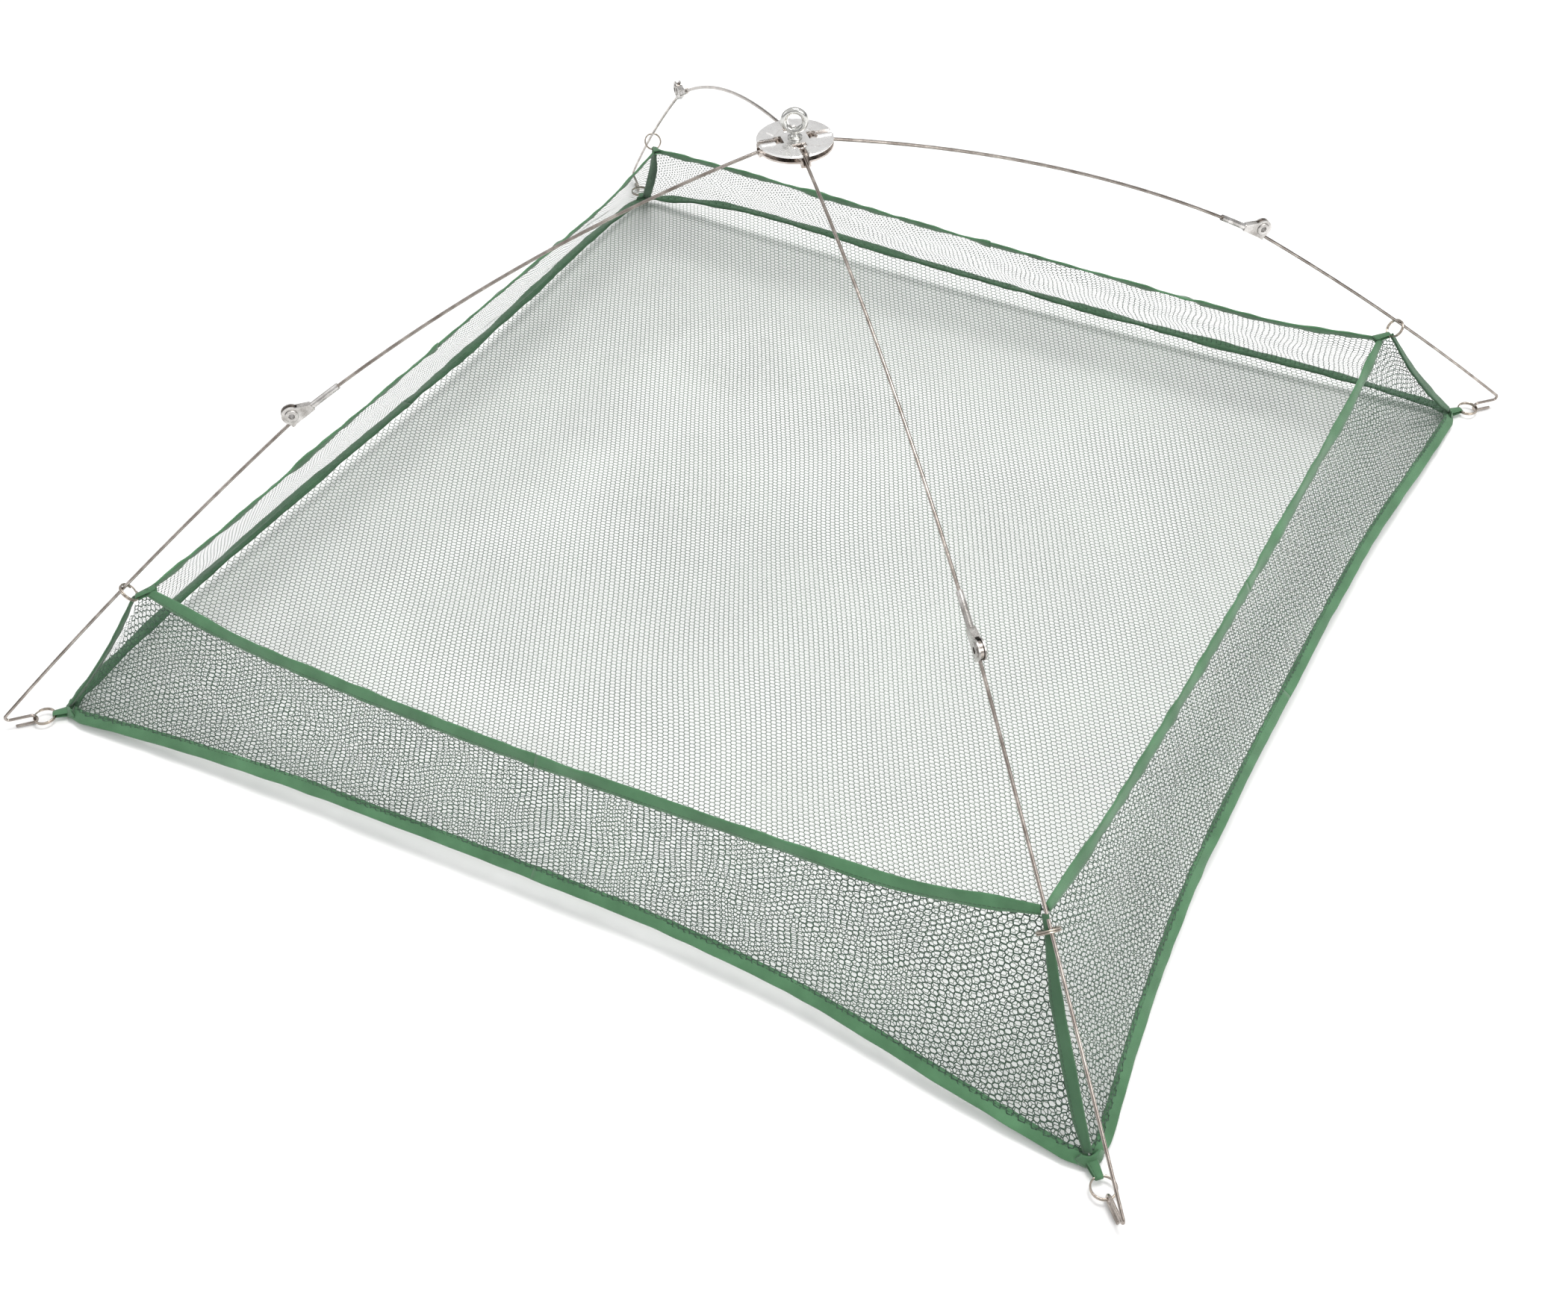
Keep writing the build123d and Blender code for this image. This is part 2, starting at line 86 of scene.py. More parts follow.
# how far each upper ring has slid down the wire
RING_SLIDE = {"front_left": 7.0, "front_right": 0.0, "back_right": 6.0, "back_left": 6.0}
# share of a mouth's side taken by the strap at each corner; the front right has no strap
STRAP = {corner: 0.0 if corner == "front_right" else 0.017 for corner in CORNERS}
# the side whose wall each corner's binding lies on
BIND_SIDE = {"front_left": "left", "front_right": "front", "back_right": "right", "back_left": "back"}


def make_side(name, ends, along, out, bow, base_out, base_z, mouth_z, hem_width, seed):
    """A side of the net. The three tables hold the seven evenly spaced stations between the
    corners: the base edge's distance out, its height, and the mouth's height."""
    start, end = ends
    return SimpleNamespace(
        name=name, ends=ends, along=np.array([*along, 0.0]), out=np.array([*out, 0.0]), bow=bow,
        base_out=[HALF_BASE, *base_out, HALF_BASE],
        base_z=[BASE_CORNER_Z, *base_z, BASE_CORNER_Z],
        mouth_z=[MOUTH_Z[start], *mouth_z, MOUTH_Z[end]],
        hem_width=hem_width, seed=seed)


EVEN_ARCH = [10.8, 14.4, 16.4, 17.0, 16.4, 14.4, 10.8]
SIDES = {side.name: side for side in (
    make_side("front", ("front_left", "front_right"), along=(1, 0), out=(0, -1), bow=7.0,
              base_out=[310.8, 305.5, 302.6, 299.6, 297.3, 300.0, 310.2],
              base_z=EVEN_ARCH,
              mouth_z=[70.7, 70.9, 72.1, 74.4, 77.7, 80.7, 84.0], hem_width=7.0, seed=31),
    make_side("right", ("front_right", "back_right"), along=(0, 1), out=(1, 0), bow=3.0,
              base_out=[308.2, 302.1, 301.3, 302.4, 303.7, 306.5, 312.9],
              base_z=EVEN_ARCH,
              mouth_z=[89.2, 84.4, 80.8, 78.5, 77.0, 74.1, 69.9], hem_width=6.4, seed=32),
    make_side("back", ("back_left", "back_right"), along=(1, 0), out=(0, 1), bow=0.0,
              base_out=[312.6, 309.9, 308.5, 308.0, 308.5, 309.9, 312.6],
              base_z=[19.0, 20.5, 18.1, 16.4, 14.3, 12.7, 11.0],
              mouth_z=[81.6, 79.4, 76.7, 74.5, 72.8, 70.9, 70.0], hem_width=6.2, seed=33),
    make_side("left", ("front_left", "back_left"), along=(0, 1), out=(-1, 0), bow=0.0,
              base_out=[316.5, 313.5, 310.0, 307.0, 306.3, 309.6, 314.8],
              base_z=EVEN_ARCH,
              mouth_z=[77.0, 77.1, 76.8, 76.5, 76.2, 74.9, 74.5], hem_width=5.8, seed=34),
)}


# ---------------------------------------------------------------- curves and edge lines
def smooth(table, t):
    """A Catmull-Rom curve through evenly spaced stations, t from 0 to 1."""
    values = np.asarray(table, float)
    spans = len(values) - 1
    u = np.clip(np.asarray(t, float), 0, 1) * spans
    i = np.minimum(u.astype(int), spans - 1)
    f = u - i
    padded = np.concatenate(([2 * values[0] - values[1]], values, [2 * values[-1] - values[-2]]))
    a, b, c, d = (padded[i + k] for k in range(4))
    return 0.5 * (2 * b + (c - a) * f + (2 * a - 5 * b + 4 * c - d) * f ** 2
                  + (3 * b - a - 3 * c + d) * f ** 3)


def unit(v):
    return v / np.maximum(np.linalg.norm(v, axis=-1, keepdims=True), 1e-12)


def bulge(v):
    """A parabola that is 0 at v = 0 and v = 1, and 1 halfway."""
    return np.clip(4 * v * (1 - v), 0, 1)


def waves(x, y, seed, size):
    """Smooth wandering values of about unit height, with waves about size long."""
    count = 7
    draw = np.random.default_rng(seed)
    total = 0
    for _ in range(count):
        angle = draw.uniform(0, math.tau)
        length = size * draw.uniform(0.6, 1.8)
        phase = draw.uniform(0, math.tau)
        distance = x * math.cos(angle) + y * math.sin(angle)
        total = total + np.sin(math.tau * distance / length + phase)
    return total / math.sqrt(count)


def place(side, along, out, z):
    return np.stack([along * side.along[0] + out * side.out[0],
                     along * side.along[1] + out * side.out[1],
                     z + 0 * along], -1)


def blunt(points):
    """Draws the base's corners in a little and rounds them."""
    points = np.array(points, float)
    reach = (np.abs(points[..., 0]) + np.abs(points[..., 1])) / ROOT2
    back = 0.42 * np.maximum(reach - 438.0, 0)
    for axis in (0, 1):
        points[..., axis] -= np.sign(points[..., axis]) * back / ROOT2
    return points


def base_line(side, t):
    """The base's edge along one side."""
    t = np.asarray(t, float)
    along = -HALF_BASE + 2 * HALF_BASE * t
    return blunt(place(side, along, smooth(side.base_out, t), smooth(side.base_z, t)))


def ring_plane(node):
    """Centre and axis of a CAD ring."""
    points = np.array([v.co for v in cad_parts[node].data.vertices]) / MM
    axis = np.linalg.svd(points - points.mean(0), full_matrices=False)[2][2]
    return (points.max(0) + points.min(0)) / 2, axis


def upper_ring(corner):
    """Centre and downward axis of the ring on the outer wire, let down the wire."""
    centre, axis = ring_plane("upper_ring_" + corner)
    axis = axis * -np.sign(axis[2])
    return centre + axis * RING_SLIDE[corner], axis


def mouth_grip(corner):
    """Where the mouth's corner ends: inside its ring, or loose at the front right."""
    sx, sy = CORNERS[corner]
    knot = np.array([sx * MOUTH_HALF[corner], sy * MOUTH_HALF[corner], MOUTH_Z[corner]])
    if corner == "front_right":
        return knot
    centre, axis = UPPER_RING[corner]
    towards = knot - centre
    return centre + unit(towards - (towards @ axis) * axis) * (UPPER_RING_R - WIRE_R)


UPPER_RING = {corner: upper_ring(corner) for corner in CORNERS}
GRIP = {corner: mouth_grip(corner) for corner in CORNERS}


def top_line(side, t):
    """The mouth's edge: along the hem, and out along the strap to the ring at each end."""
    t = np.asarray(t, float)
    start, end = side.ends
    half_start, half_end = MOUTH_HALF[start], MOUTH_HALF[end]
    w = np.clip((t - STRAP[start]) / (1 - STRAP[start] - STRAP[end]), 0, 1)
    out = half_start * (1 - w) + half_end * w + side.bow * 4 * w * (1 - w)
    points = place(side, -half_start + (half_start + half_end) * w, out, smooth(side.mouth_z, w))
    for corner, distance in ((start, t), (end, 1 - t)):
        if STRAP[corner]:
            f = np.clip(1 - distance / STRAP[corner], 0, 1)[..., None]
            points = points * (1 - f) + GRIP[corner] * f
    return points


# ---------------------------------------------------------------- finishes
class Graph:
    """Short ways to add shader nodes to a tree. Values may be sockets, numbers or colours."""

    def __init__(self, tree):
        self.nodes, self.links = tree.nodes, tree.links

    def feed(self, socket, value):
        if isinstance(value, tuple):
            socket.default_value = (*value, 1)
        elif isinstance(value, (int, float)):
            socket.default_value = value
        else:
            self.links.new(value, socket)

    def noise(self, scale, detail, rough=0.55):
        coords = self.nodes.new("ShaderNodeTexCoord")
        node = self.nodes.new("ShaderNodeTexNoise")
        node.inputs["Scale"].default_value = scale
        node.inputs["Detail"].default_value = detail
        node.inputs["Roughness"].default_value = rough
        self.feed(node.inputs["Vector"], coords.outputs["Object"])
        return node.outputs["Fac"]

    def ramp(self, value, stops):
        node = self.nodes.new("ShaderNodeValToRGB")
        elements = node.color_ramp.elements
        while len(elements) < len(stops):
            elements.new(0.5)
        for element, (at, colour) in zip(elements, stops):
            element.position = at
            element.color = (*colour, 1)
        self.feed(node.inputs["Fac"], value)
        return node.outputs["Color"]

    def spread(self, value, low, high):
        """Stretches the middle of a noise's range over low to high."""
        node = self.nodes.new("ShaderNodeMapRange")
        for socket, number in (("From Min", 0.3), ("From Max", 0.7), ("To Min", low), ("To Max", high)):
            node.inputs[socket].default_value = number
        self.feed(node.inputs["Value"], value)
        return node.outputs["Result"]

    def bump(self, shader, height, strength, distance):
        node = self.nodes.new("ShaderNodeBump")
        node.inputs["Strength"].default_value = strength
        node.inputs["Distance"].default_value = distance
        self.feed(node.inputs["Height"], height)
        self.feed(shader.inputs["Normal"], node.outputs["Normal"])

    def math(self, operation, a, b=0.0):
        node = self.nodes.new("ShaderNodeMath")
        node.operation = operation
        self.feed(node.inputs[0], a)
        self.feed(node.inputs[1], b)
        return node.outputs[0]

    def blend(self, factor, a, b):
        node = self.nodes.new("ShaderNodeMix")
        node.data_type = "RGBA"
        self.feed(node.inputs[0], factor)
        self.feed(node.inputs[6], a)
        self.feed(node.inputs[7], b)
        return node.outputs[2]


def new_material(name):
    mat = bpy.data.materials.new(name)
    mat.use_nodes = True
    return mat, Graph(mat.node_tree), mat.node_tree.nodes["Principled BSDF"]


def metal(name, dark, mid, light, rough, scale):
    """Clouded plated metal; scale sets how fine its clouds and dents are."""
    mat, graph, shader = new_material(name)
    cloud = graph.noise(scale, detail=5)
    colour = graph.ramp(cloud, [(0.3, dark), (0.5, mid), (0.68, light)])
    graph.feed(shader.inputs["Base Color"], colour)
    shader.inputs["Metallic"].default_value = 1.0
    fine = graph.noise(scale * 9, detail=3)
    roughness = graph.spread(fine, low=rough * 0.75, high=rough * 1.5)
    graph.feed(shader.inputs["Roughness"], roughness)
    dents = graph.noise(scale * 4, detail=6, rough=0.7)
    graph.bump(shader, dents, strength=0.25, distance=0.0004)
    return mat


def tape_green(name, dark, light):
    """Twill tape with a row of lockstitch along the open edge of its fold, and painted shade in the
    hollows of its weave.
    """
    rib_rate, rib_slant, cross_rate = 88.0, 30.0, 62.0     # waves per unit of u, of v, and of v
    weave_painted_shade, weave_shade_dark = 0.34, 0.42                   # strength and darkness of the painted shade in the weave's hollows
    stitch_rate, stitch_share = 4.2, 0.68                  # stitches per cm, and thread's share
    row_v, row_half = 0.19, 0.03                           # place and half width of the row
    stitch_shade, stitch_dark, stitch_depth = 0.75, 0.45, -1.5

    mat, graph, shader = new_material(name)
    op = graph.math
    coords = graph.nodes.new("ShaderNodeTexCoord")
    split = graph.nodes.new("ShaderNodeSeparateXYZ")
    graph.feed(split.inputs[0], coords.outputs["UV"])
    u, v = split.outputs[0], split.outputs[1]              # u in cm along the tape, v across it
    cloud = graph.noise(55, detail=5)
    colour = graph.ramp(cloud, [(0.3, dark), (0.7, light)])

    # twill ribs lie across the tape at a slant
    slant = op("ADD", op("MULTIPLY", u, rib_rate), op("MULTIPLY", v, rib_slant))
    rib = op("ABSOLUTE", op("SINE", slant))
    cross = op("ABSOLUTE", op("SINE", op("MULTIPLY", v, cross_rate)))
    weave = op("MULTIPLY", rib, cross)
    # painted shade: the weave's hollows are darkened in the colour
    shade = op("MULTIPLY", op("SUBTRACT", 1.0, weave), weave_painted_shade)
    colour = graph.blend(shade, colour, tuple(weave_shade_dark * c for c in dark))

    dash = op("LESS_THAN", op("FRACT", op("MULTIPLY", u, stitch_rate)), stitch_share)
    row = op("LESS_THAN", op("ABSOLUTE", op("SUBTRACT", v, row_v)), row_half)
    stitch = op("MULTIPLY", dash, row)
    thread = tuple(stitch_dark * c for c in dark)
    colour = graph.blend(op("MULTIPLY", stitch, stitch_shade), colour, thread)
    graph.feed(shader.inputs["Base Color"], colour)
    shader.inputs["Roughness"].default_value = 0.62
    shader.inputs["Sheen Weight"].default_value = 0.25
    shader.inputs["Sheen Roughness"].default_value = 0.5
    height = op("ADD", weave, op("MULTIPLY", stitch, stitch_depth))
    graph.bump(shader, height, strength=0.35, distance=0.0002)
    return mat


def net_green(name, dark, mid, light):
    """Netting cord, mottled by broad clouds and a fine grain."""
    mat, graph, shader = new_material(name)
    op = graph.math
    cloud = graph.noise(14, detail=4)
    fine = graph.noise(700, detail=2)
    mixed = op("ADD", op("MULTIPLY", cloud, 0.55), op("MULTIPLY", fine, 0.45))
    colour = graph.ramp(mixed, [(0.34, dark), (0.5, mid), (0.66, light)])
    graph.feed(shader.inputs["Base Color"], colour)
    shader.inputs["Roughness"].default_value = 0.55
    shader.inputs["Sheen Weight"].default_value = 0.1
    graph.bump(shader, fine, strength=0.3, distance=0.0001)
    return mat


HUB_METAL = metal("hub_plate", dark=(0.78, 0.77, 0.76), mid=(0.89, 0.88, 0.87),
                  light=(0.96, 0.955, 0.945), rough=0.26, scale=60)
HUB_LOW_METAL = metal("hub_underplate", dark=(0.40, 0.34, 0.30), mid=(0.62, 0.56, 0.52),
                      light=(0.80, 0.76, 0.72), rough=0.26, scale=70)
EYE_METAL = metal("eye_chrome", dark=(0.46, 0.46, 0.44), mid=(0.62, 0.62, 0.595),
                  light=(0.80, 0.80, 0.78), rough=0.13, scale=80)
WIRE_METAL = metal("wire_plate", dark=(0.23, 0.195, 0.17), mid=(0.36, 0.32, 0.29),
                   light=(0.56, 0.51, 0.465), rough=0.18, scale=110)
HINGE_METAL = metal("hinge_plate", dark=(0.30, 0.28, 0.26), mid=(0.52, 0.50, 0.48),
                    light=(0.74, 0.72, 0.70), rough=0.26, scale=150)
RING_METAL = metal("ring_plate", dark=(0.24, 0.21, 0.18), mid=(0.42, 0.37, 0.32),
                   light=(0.66, 0.59, 0.50), rough=0.16, scale=160)
HEM_TAPE = tape_green("hem_tape", dark=(0.046, 0.155, 0.062), light=(0.088, 0.250, 0.112))
# a darker tape for the corner bindings, and painted shade where it dresses the back and left base hems
BINDING_AND_SHADED_HEM_TAPE = tape_green("binding_tape", dark=(0.030, 0.110, 0.045), light=(0.055, 0.165, 0.072))
BASE_NET = net_green("knotless_net", dark=(0.055, 0.095, 0.065), mid=(0.100, 0.150, 0.108),
                     light=(0.160, 0.225, 0.165))
# the walls' netting is the base's cord in a much darker colour: painted shade on the standing walls
WALL_NET_PAINTED_SHADE = net_green("knotless_net_wall", dark=(0.016, 0.045, 0.027), mid=(0.034, 0.080, 0.050),
                     light=(0.070, 0.135, 0.088))


# ---------------------------------------------------------------- making meshes
def mesh_object(name, verts, faces, mat, body, uvs=None):
    """A smooth-shaded mesh that rides on body, unless body is None."""
    mesh = bpy.data.meshes.new(name)
    mesh.from_pydata((np.asarray(verts) * MM).tolist(), [], faces)
    if uvs is not None:
        layer = mesh.uv_layers.new(name="UVMap")
        loops = np.zeros(len(mesh.loops), np.int32)
        mesh.loops.foreach_get("vertex_index", loops)
        layer.data.foreach_set("uv", np.asarray(uvs, np.float32)[loops].ravel())
    mesh.materials.append(mat)
    mesh.polygons.foreach_set("use_smooth", [True] * len(mesh.polygons))
    mesh.update()
    obj = bpy.data.objects.new(name, mesh)
    bpy.context.scene.collection.objects.link(obj)
    if body:
        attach(obj, body)
    return obj


def tube_faces(rings, sides, flip=False):
    """Faces of a capped tube; flip turns them the other way round."""
    faces = []
    for i in range(rings - 1):
        for j in range(sides):
            a, b = i * sides + j, i * sides + (j + 1) % sides
            quad = (a, a + sides, b + sides, b) if flip else (a, b, b + sides, a + sides)
            faces.append(quad)
    first = tuple(range(sides))
    last = tuple((rings - 1) * sides + j for j in range(sides))
    return faces + ([first, last[::-1]] if flip else [first[::-1], last])


def path_frame(line, across):
    """Directions across a path and out of its plane, and the distance run along it."""
    along = unit(np.gradient(line, axis=0))
    across = unit(across - (across * along).sum(-1, keepdims=True) * along)
    steps = np.linalg.norm(np.diff(line, axis=0), axis=1)
    return across, np.cross(along, across), np.concatenate(([0], np.cumsum(steps)))


def tape_uv(run, across, half):
    return np.stack([np.full(len(across), run / 10), (across / half + 1) / 2], -1)


def tape_mesh(name, sections, uvs, mat, body):
    faces = tube_faces(len(sections), len(sections[0]))
    return mesh_object(name, np.concatenate(sections), faces, mat, body,
                       np.concatenate(uvs))


def fold_section(half, thick):
    """Section of a tape folded over an edge, as (across, out of plane): two plies with a slit
    between, the fold at +half."""
    q = thick / 2
    slit = q - PLY
    bend = half - q
    points = [(-half, q * 0.92), (-half * 0.4, q), (half * 0.3, q * 1.05), (bend, q)]
    points += [(bend + q * math.cos(a), q * math.sin(a)) for a in np.radians([50, 0, -50])]
    points += [(bend, -q), (half * 0.3, -q * 1.05), (-half * 0.4, -q), (-half, -q * 0.92)]
    points += [(-half, -slit), (bend, -slit * 0.9), (bend, slit * 0.9), (-half, slit)]
    return np.array(points)


def tape(name, line, across, width, thick, mat, body, seed, twist, ruffle):
    """A folded tape along line, its width lying along across and its fold towards +across.
    It turns by about twist degrees, and its edges wander by about ruffle."""
    across, up, run = path_frame(line, across)
    width = np.broadcast_to(np.asarray(width, float), (len(line),))
    ends_held = np.clip(np.minimum(run, run[-1] - run) / 15, 0, 1)
    turn = np.radians(twist) * waves(run, 0 * run, seed, size=60) * ends_held
    cos, sin = np.cos(turn)[:, None], np.sin(turn)[:, None]
    turned_across = across * cos + up * sin
    turned_up = -across * sin + up * cos
    breathe = 1 + 0.035 * waves(run, 0 * run, seed + 1, size=24)
    lift = ruffle * waves(run, 0 * run, seed + 2, size=17)
    sections, uvs = [], []
    for i in range(len(line)):
        half = width[i] / 2
        section = fold_section(half * breathe[i], thick)
        edge = (section[:, 0] / half) ** 2 * np.sign(section[:, 0])
        height = section[:, 1:] + (lift[i] * edge * 0.8)[:, None]
        sections.append(line[i] + section[:, :1] * turned_across[i] + height * turned_up[i])
        uvs.append(tape_uv(run[i], section[:, 0], half))
    return tape_mesh(name, sections, uvs, mat, body)


def ribbon(name, line, across, width, thick, mat, body):
    """A single ply of tape, closed all round, along line."""
    across, up, run = path_frame(line, across)
    q = thick / 2
    sections, uvs = [], []
    for i in range(len(line)):
        half = width[i] / 2
        section = np.array([(-half, 0), (-half + q, q), (0, q * 1.1), (half - q, q),
                            (half, 0), (half - q, -q), (0, -q * 1.1), (-half + q, -q)])
        sections.append(line[i] + section[:, :1] * across[i] + section[:, 1:] * up[i])
        uvs.append(tape_uv(run[i], section[:, 0], half))
    return tape_mesh(name, sections, uvs, mat, body)


def split_ring(name, centre, normal, radius, body, start):
    """Wire wound a little under two turns from angle start, the turns side by side."""
    turns, stations, sides = 1.9, 84, 8
    step_at, step_length = 0.86, 0.28          # in turns: where the wire steps across
    normal = unit(normal)
    a = unit(np.cross(normal, [0.31, 0.17, 0.93]))
    b = np.cross(normal, a)
    verts = []
    for i in range(stations):
        turned = i / (stations - 1) * turns
        angle = start + turned * math.tau
        step = np.clip((turned - step_at) / step_length, 0, 1)
        offset = WIRE_R * 1.02 * (2 * (step * step * (3 - 2 * step)) - 1)
        radial = a * math.cos(angle) + b * math.sin(angle)
        middle = centre + radial * radius + normal * offset
        section_r = WIRE_R * (0.72 if i in (0, stations - 1) else 1.0)
        for j in range(sides):
            w = math.tau * j / sides
            verts.append(middle + section_r * (radial * math.cos(w) + normal * math.sin(w)))
    faces = tube_faces(stations, sides, flip=True)
    return mesh_object(name, verts, faces, RING_METAL, body)


# ---------------------------------------------------------------- netting
SQUARE = np.array([[1.0, 0.0], [0.0, 1.0]])
# the base's netting is cut on the bias, and drawn a little askew
BIAS = np.array([[0.914, -0.505], [0.271, 0.912]])


def cell_random(i, j, seed, which):
    """Repeatable random pairs from -1 to 1 per cell, the same wherever the cell is drawn."""
    mixed = ((i.astype(np.int64) * 73856093) ^ (j.astype(np.int64) * 19349663)
             ^ (seed * 83492791 + which * 2654435))
    pair = []
    for k in range(2):
        g = (mixed + k * 977) * 6364136223846793005 + 1442695040888963407
        g = (g ^ (g >> 29)) * 2862933555777941757
        pair.append(((g >> 33) & 0xFFFFF) / 0xFFFFF * 2 - 1)
    return np.stack(pair, -1)


def knot_corners(strands, half_width):
    """The ribbon corners round a knot, one between each strand direction and the next."""
    corners = []
    for m in range(3):
        p, q = strands[m], strands[(m + 1) % 3]
        half_angle = math.acos(np.clip(p @ q, -1, 1)) / 2
        corners.append(unit(p + q) * half_width / math.sin(half_angle))
    return np.array(corners)


def hex_net(x_span, y_span, in_net, in_piece, place_points, width, jitter, seed, lay=SQUARE):
    """Strands of a hexagonal netting as joined flat ribbons; returns vertices and faces.
    in_net(x, y) picks the whole net's cells and in_piece(x, y) those of this piece, whose
    strands reach over to the next piece's knots. place_points(x, y, lift) puts laid-out points
    in space."""
    (x0, x1), (y0, y1) = x_span, y_span
    box = np.linalg.inv(lay) @ np.array([[x0, x1, x0, x1], [y0, y0, y1, y1]])
    columns = np.arange(math.floor(box[0].min() / PITCH_X) - 2, math.ceil(box[0].max() / PITCH_X) + 3)
    rows = np.arange(math.floor(box[1].min() / PITCH_Y) - 2, math.ceil(box[1].max() / PITCH_Y) + 3)
    ii, jj = (grid.ravel() for grid in np.meshgrid(columns, rows, indexing="ij"))
    cx = ii * PITCH_X
    cy = (jj + 0.5 * (ii % 2)) * PITCH_Y
    ok = in_net(*(lay @ np.stack([cx, cy])))
    ii, jj, cx, cy = ii[ok], jj[ok], cx[ok], cy[ok]
    own = in_piece(*(lay @ np.stack([cx, cy])))
    count = len(cx)
    cell_at = {(int(i), int(j)): k for k, (i, j) in enumerate(zip(ii, jj))}

    # each cell owns two knots: its right tip, and its upper right shoulder
    tip_x, shoulder_x = 0.64 * PITCH_X, 0.36 * PITCH_X
    tips = np.stack([cx + tip_x, cy], -1) + cell_random(ii, jj, seed, 0) * jitter
    shoulders = (np.stack([cx + shoulder_x, cy + PITCH_Y / 2], -1)
                 + cell_random(ii, jj, seed, 1) * jitter)
    # a tip's strands run right, to the shoulder above and to the one below, anticlockwise;
    # a shoulder is a tip turned by half a turn
    rise = unit(np.array([shoulder_x - tip_x, PITCH_Y / 2]))
    fall = rise * [1, -1]
    corners = knot_corners([np.array([1.0, 0.0]), rise, fall], width / 2)
    points = np.concatenate([tips[:, None] + corners, shoulders[:, None] - corners]).reshape(-1, 2)
    lift = np.repeat([NET_WAVER, -NET_WAVER], 3 * count)

    faces = []
    for k in range(count):
        if not own[k]:
            continue
        i, j = int(ii[k]), int(jj[k])
        a = 3 * k
        b = 3 * (count + k)
        faces.append((a, a + 1, a + 2))
        faces.append((b, b + 1, b + 2))
        # the strand from the right tip to the cell's own shoulder
        faces.append((a, a + 1, b, b + 1))
        # the strand from the right tip down to the shoulder of the cell below
        below = cell_at.get((i, j - 1))
        if below is not None:
            c = 3 * (count + below)
            faces.append((a + 1, a + 2, c + 1, c + 2))
        # the level strand from the right tip to the shoulder in the next column
        beside = cell_at.get((i + 1, j - 1 + (i % 2)))
        if beside is not None:
            c = 3 * (count + beside)
            faces.append((a + 2, a, c + 2, c))
    used = np.unique([v for face in faces for v in face])
    renumber = {old: new for new, old in enumerate(used.tolist())}
    faces = [tuple(renumber[v] for v in face) for face in faces]
    laid = lay @ points[used].T
    return place_points(laid[0], laid[1], lift[used]), faces


def half_span(sign):
    return (-HALF_BASE, 0) if sign < 0 else (0, HALF_BASE)


def place_on_base(x, y, lift):
    """Lays the base's netting nearly flat, curling up to the hems at its edges."""
    flat_z = 0.9
    tx, ty = (x + HALF_BASE) / (2 * HALF_BASE), (y + HALF_BASE) / (2 * HALF_BASE)
    edge = np.clip(np.minimum(HALF_BASE - np.abs(x), HALF_BASE - np.abs(y)) / 25, 0, 1)
    wandered_x = x + 0.9 * waves(x, y, 3, size=160) * edge
    wandered_y = y + 0.9 * waves(x, y, 4, size=160) * edge
    front, right, back, left = (SIDES[name] for name in ("front", "right", "back", "left"))
    out_x = np.where(x > 0, smooth(right.base_out, ty), smooth(left.base_out, ty))
    out_y = np.where(y > 0, smooth(back.base_out, tx), smooth(front.base_out, tx))
    bed = flat_z + 0.35 * waves(x, y, 5, size=210) + 0.15 * waves(x, y, 6, size=60)
    total, weight = 0, 0
    for side, inset, t in ((front, HALF_BASE + y, tx), (back, HALF_BASE - y, tx),
                           (right, HALF_BASE - x, ty), (left, HALF_BASE + x, ty)):
        reach = 46 + 9 * waves(t * 600, 0 * t, 11 + len(side.name), size=240)
        pull = np.exp(-np.power(np.maximum(inset, 0) / reach, 1.25))
        total = total + pull * (smooth(side.base_z, t) - flat_z)
        weight = weight + pull
    z = bed * np.clip(1 - 0.6 * weight, 0, 1) + 0.35 + total / np.maximum(1, weight)
    return blunt(np.stack([wandered_x * out_x / HALF_BASE, wandered_y * out_y / HALF_BASE,
                           np.maximum(z + lift, 0.25)], -1))


def in_base(x, y):
    return (np.abs(x) < HALF_BASE - 1.5) & (np.abs(y) < HALF_BASE - 1.5)


def build_base_net(corner):
    """The quarter of the base's netting that goes with a corner."""
    sx, sy = CORNERS[corner]

    def in_quarter(x, y):
        return ((x >= 0) == (sx > 0)) & ((y >= 0) == (sy > 0))

    points, faces = hex_net(half_span(sx), half_span(sy), in_base, in_quarter, place_on_base,
                            width=0.47, jitter=0.10, seed=1, lay=BIAS)
    obj = mesh_object("base_net_" + corner, points, faces, BASE_NET, "corner_" + corner)
    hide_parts("net_base")
    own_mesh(obj)


